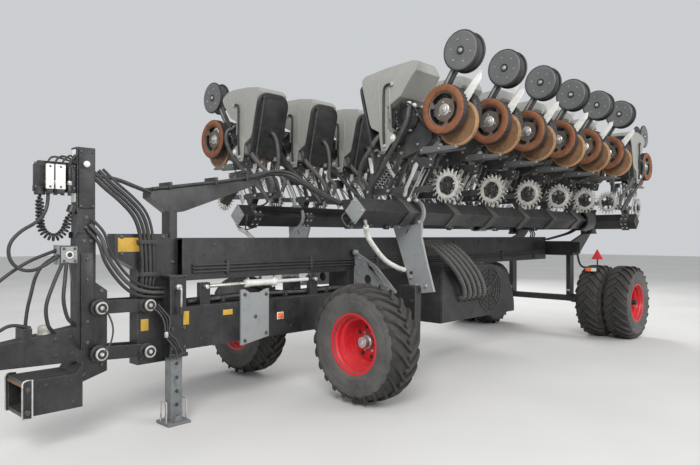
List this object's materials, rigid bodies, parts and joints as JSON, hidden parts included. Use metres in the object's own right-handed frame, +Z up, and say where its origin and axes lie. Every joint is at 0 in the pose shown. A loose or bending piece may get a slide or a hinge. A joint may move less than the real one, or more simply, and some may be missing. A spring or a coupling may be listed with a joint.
{
  "type": "trailed precision planter",
  "caption": "Trailed precision planter folded for the road: wings folded forward along a central beam, row units turned up, parked on its jack.",
  "frame": {"origin": "on the floor, under the middle of the overall length and width", "axes": "+X to the rear, +Y to the far side, +Z up; the tow eye is at -X"},
  "size_m": [8.8199, 3.24, 3.037],
  "materials": {
    "black_frame": "satin black paint, dusty",
    "grey_frame": "light grey paint, dusty",
    "grey_hopper": "light warm grey moulded plastic",
    "black_plastic": "black moulded plastic",
    "worn_steel": "bare steel, dull and soiled",
    "gauge_tyre": "rubber with rust-brown dust",
    "closing_wheel": "mid grey, dusty",
    "white_plastic": "off-white plastic",
    "hose": "black rubber hose, dusty",
    "tyre": "dusty agricultural rubber",
    "red_rim": "bright red paint"
  },
  "bodies": {
    "chassis": {"main_beam": "black_frame", "lower_beam": "black_frame", "beam_side_plate": "grey_frame", "rear_frame": "black_frame", "rear_axle": "black_frame", "headstock": "black_frame", "jack_housing": "black_frame", "hitch_head": "black_frame", "hose_mast": "black_frame", "link_bars": "black_frame", "drawbar_neck": "black_frame", "hitch_box": "black_frame", "fan_housing": "black_plastic", "hose_tray": "black_frame", "lift_ram": "white_plastic", "coupler_rack": "grey_frame", "air_ducts": "hose", "curly_cable": "black_plastic", "loop_hose": "hose", "front_hose": "hose", "neck_hose": "hose"},
    "jack": {"jack_leg": "grey_frame"},
    "centre_bank": {"centre_toolbar": "black_frame", "centre_row_frames": "grey_frame", "centre_hoppers": "grey_hopper", "centre_lids_and_meters": "black_plastic", "centre_ground_discs": "worn_steel", "centre_seed_firmers": "white_plastic", "centre_closing_wheels": "closing_wheel"},
    "centre_gauge_set": {"centre_gauge_wheels": "gauge_tyre"},
    "near_fold": {"near_fold_arm": "black_frame", "near_wheel_bracket": "grey_frame", "near_wheel_leg": "black_frame"},
    "near_bank": {"near_toolbar": "black_frame", "near_row_frames": "grey_frame", "near_hoppers": "grey_hopper", "near_lids_and_meters": "black_plastic", "near_ground_discs": "worn_steel", "near_seed_firmers": "white_plastic", "near_closing_wheels": "closing_wheel"},
    "near_gauge_set": {"near_gauge_wheels": "gauge_tyre"},
    "near_wing_wheel": {"near_wing_tyre": "tyre", "near_wing_rim": "red_rim"},
    "near_rear_wheels": {"near_rear_tyre": "tyre", "near_rear_rim": "red_rim"},
    "far_fold": {"far_fold_arm": "black_frame", "far_wheel_bracket": "grey_frame", "far_wheel_leg": "black_frame"},
    "far_bank": {"far_toolbar": "black_frame", "far_row_frames": "grey_frame", "far_hoppers": "grey_hopper", "far_lids_and_meters": "black_plastic", "far_ground_discs": "worn_steel", "far_seed_firmers": "white_plastic", "far_closing_wheels": "closing_wheel"},
    "far_gauge_set": {"far_gauge_wheels": "gauge_tyre"},
    "far_wing_wheel": {"far_wing_tyre": "tyre", "far_wing_rim": "red_rim"},
    "far_rear_wheels": {"far_rear_tyre": "tyre", "far_rear_rim": "red_rim"}
  },
  "joints": [
    {"name": "jack_slide", "type": "slide", "parent": "chassis", "child": "jack", "axis": [0, 0, 1], "range_m": [0, 0.35]},
    {"name": "centre_turn", "type": "hinge", "parent": "chassis", "child": "centre_bank", "pos_m": [3.59, 0, 1.58], "axis": [0, 1, 0], "range_deg": [0, 90]},
    {"name": "centre_gauge_spin", "type": "hinge", "parent": "centre_bank", "child": "centre_gauge_set", "pos_m": [4.11, 0, 2.4], "axis": [0, 1, 0], "continuous": true},
    {"name": "near_fold_out", "type": "hinge", "parent": "chassis", "child": "near_fold", "pos_m": [3.42, -0.63, 1.58], "axis": [0, 0, 1], "range_deg": [0, 90]},
    {"name": "near_turn", "type": "hinge", "parent": "near_fold", "child": "near_bank", "pos_m": [0, -0.8, 1.58], "axis": [1, 0, 0], "range_deg": [0, 90]},
    {"name": "near_gauge_spin", "type": "hinge", "parent": "near_bank", "child": "near_gauge_set", "pos_m": [0, -1.32, 2.4], "axis": [1, 0, 0], "continuous": true},
    {"name": "near_wing_wheel_spin", "type": "hinge", "parent": "near_fold", "child": "near_wing_wheel", "pos_m": [-1.7, -0.8, 0.5], "axis": [1, 0, 0], "continuous": true},
    {"name": "near_rear_wheels_spin", "type": "hinge", "parent": "chassis", "child": "near_rear_wheels", "pos_m": [3.09, -1.045, 0.485], "axis": [0, 1, 0], "continuous": true},
    {"name": "far_fold_out", "type": "hinge", "parent": "chassis", "child": "far_fold", "pos_m": [3.42, 0.63, 1.58], "axis": [0, 0, -1], "range_deg": [0, 90]},
    {"name": "far_turn", "type": "hinge", "parent": "far_fold", "child": "far_bank", "pos_m": [0, 0.8, 1.58], "axis": [-1, 0, 0], "range_deg": [0, 90]},
    {"name": "far_gauge_spin", "type": "hinge", "parent": "far_bank", "child": "far_gauge_set", "pos_m": [0, 1.32, 2.4], "axis": [1, 0, 0], "continuous": true},
    {"name": "far_wing_wheel_spin", "type": "hinge", "parent": "far_fold", "child": "far_wing_wheel", "pos_m": [-1.7, 0.8, 0.5], "axis": [1, 0, 0], "continuous": true},
    {"name": "far_rear_wheels_spin", "type": "hinge", "parent": "chassis", "child": "far_rear_wheels", "pos_m": [3.09, 1.045, 0.485], "axis": [0, 1, 0], "continuous": true}
  ]
}
